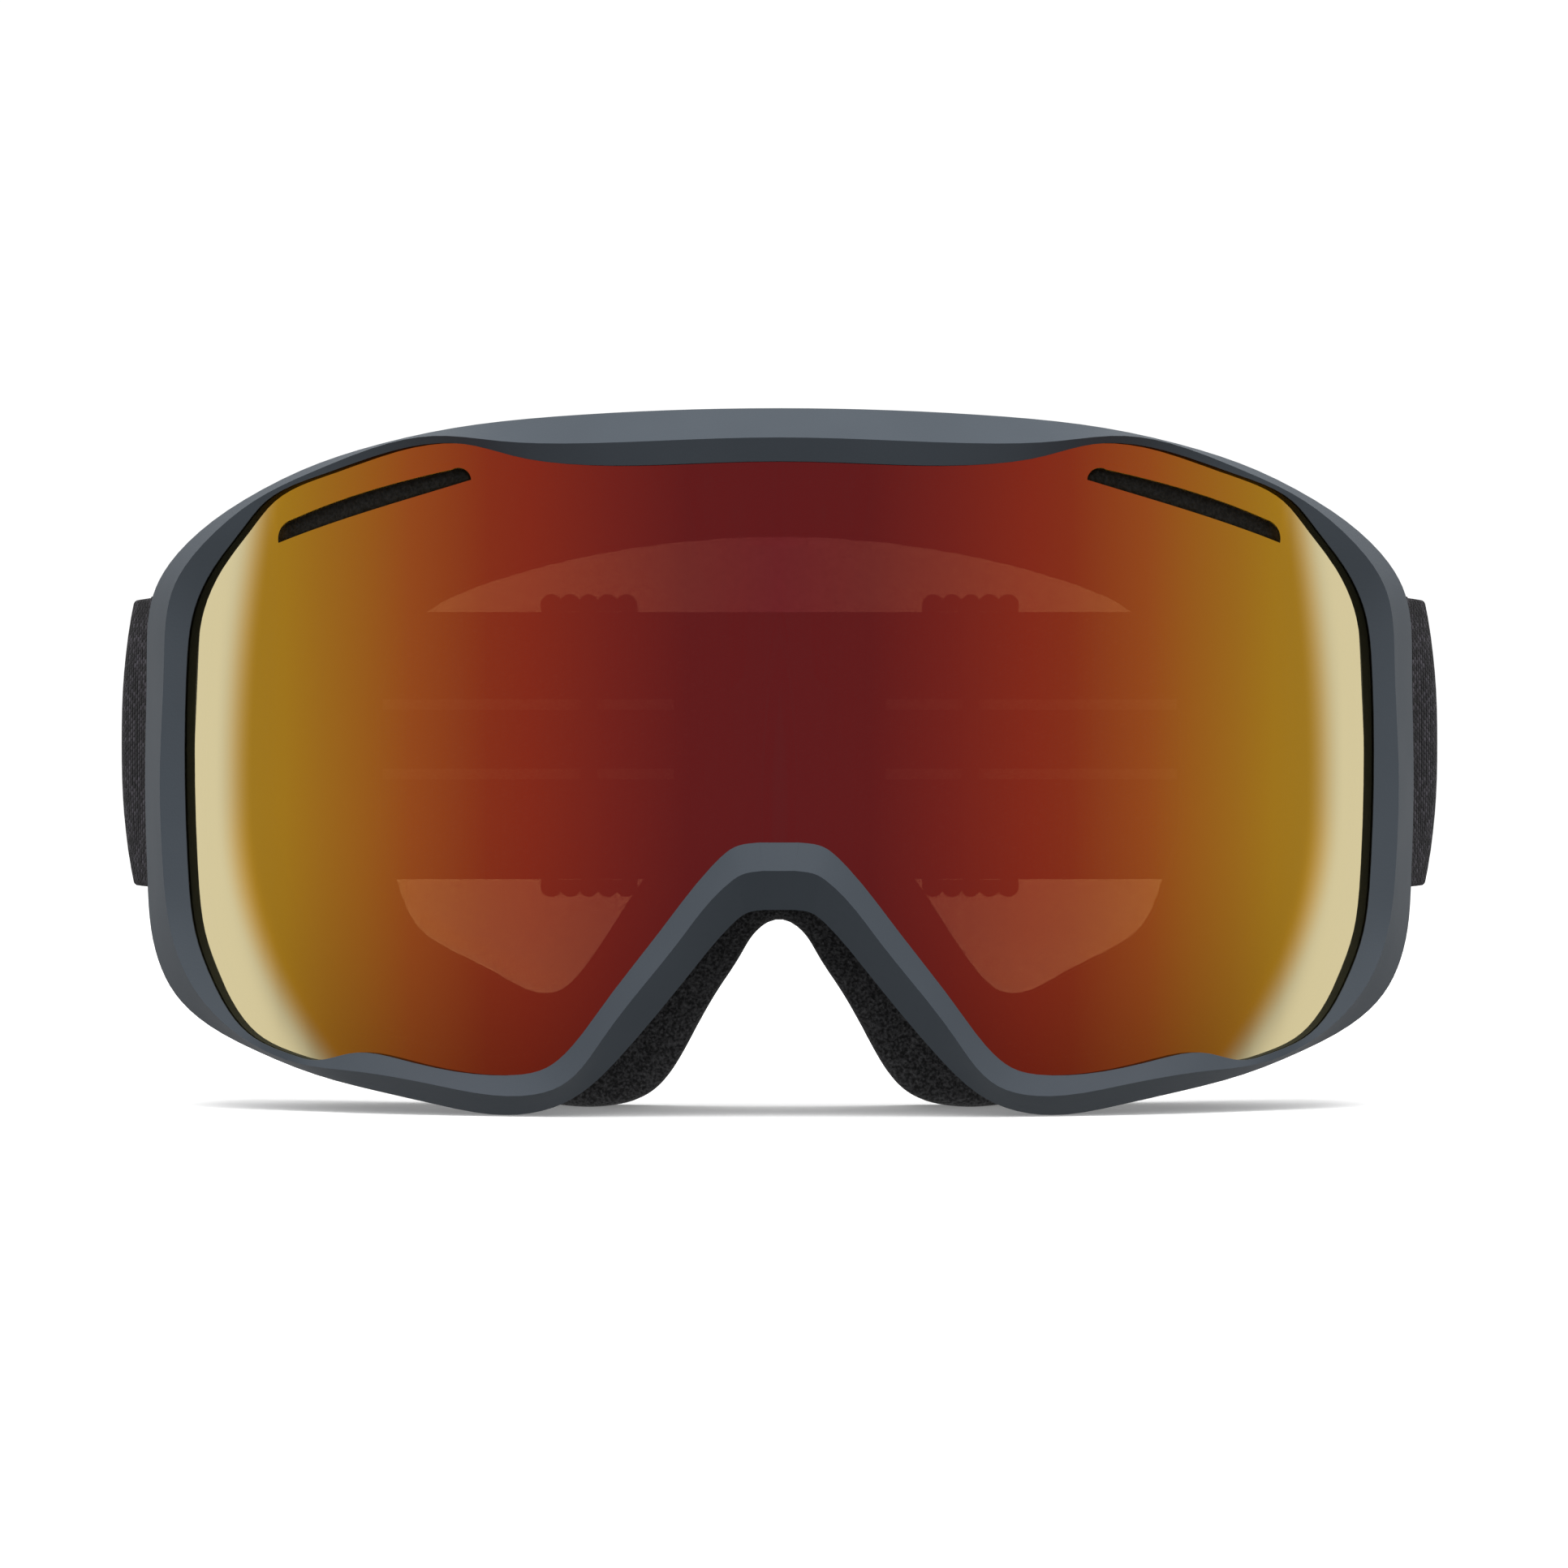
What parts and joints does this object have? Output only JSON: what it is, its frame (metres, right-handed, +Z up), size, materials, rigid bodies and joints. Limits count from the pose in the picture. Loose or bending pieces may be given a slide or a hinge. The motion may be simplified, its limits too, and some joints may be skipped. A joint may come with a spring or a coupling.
{
  "type": "ski goggles",
  "caption": "Wide-lens snow goggles: moulded frame, cylindrical mirror lens, layered foam face seat and an adjustable webbing strap with sliders.",
  "frame": {"origin": "under the middle of the goggles, on the surface that they stand on", "axes": "+X to the wearer's left, across the goggles; +Y from the lens to the back of the strap; +Z up"},
  "size_m": [0.1808, 0.172, 0.0935],
  "materials": {
    "frame_tpu": "satin slate grey moulding",
    "mirror_lens": "mirror, red in the middle to gold at the sides",
    "clear_lens": "clear, gloss",
    "gasket_foam": "matt closed-cell foam",
    "vent_foam": "matt open-cell foam",
    "face_foam": "matt foam",
    "fleece": "matt fleece",
    "webbing": "woven elastic webbing",
    "grip_rubber": "satin silicone",
    "slider_plastic": "satin"
  },
  "bodies": {
    "root": {"frame": "frame_tpu", "outer_lens": "mirror_lens", "inner_lens": "clear_lens", "lens_gasket": "gasket_foam", "lens_vent_foam_left": "vent_foam", "lens_vent_foam_right": "vent_foam", "vent_foam_top_1": "vent_foam", "vent_foam_top_2": "vent_foam", "vent_foam_top_3": "vent_foam", "vent_foam_top_4": "vent_foam", "vent_foam_top_5": "vent_foam", "vent_foam_lower_1": "vent_foam", "vent_foam_lower_2": "vent_foam", "vent_foam_lower_3": "vent_foam", "vent_foam_lower_4": "vent_foam", "face_foam_base": "face_foam", "face_foam_middle": "face_foam", "face_fleece": "fleece", "strap_band": "webbing", "strap_loop_left": "webbing", "strap_loop_right": "webbing", "strap_outer_left": "webbing", "strap_outer_right": "webbing", "grip_line_upper_left": "grip_rubber", "grip_line_upper_right": "grip_rubber", "grip_line_lower_left": "grip_rubber", "grip_line_lower_right": "grip_rubber"},
    "slider_left_body": {"slider_left": "slider_plastic", "strap_tail_left": "webbing"},
    "slider_right_body": {"slider_right": "slider_plastic", "strap_tail_right": "webbing"}
  },
  "joints": [
    {"name": "slider_left_slide", "type": "slide", "parent": "root", "child": "slider_left_body", "axis": [1, 0, 0], "range_m": [-0.018, 0.027], "deforming": ["strap_outer_left"]},
    {"name": "slider_right_slide", "type": "slide", "parent": "root", "child": "slider_right_body", "axis": [-1, 0, 0], "range_m": [-0.018, 0.027], "deforming": ["strap_outer_right"]}
  ]
}
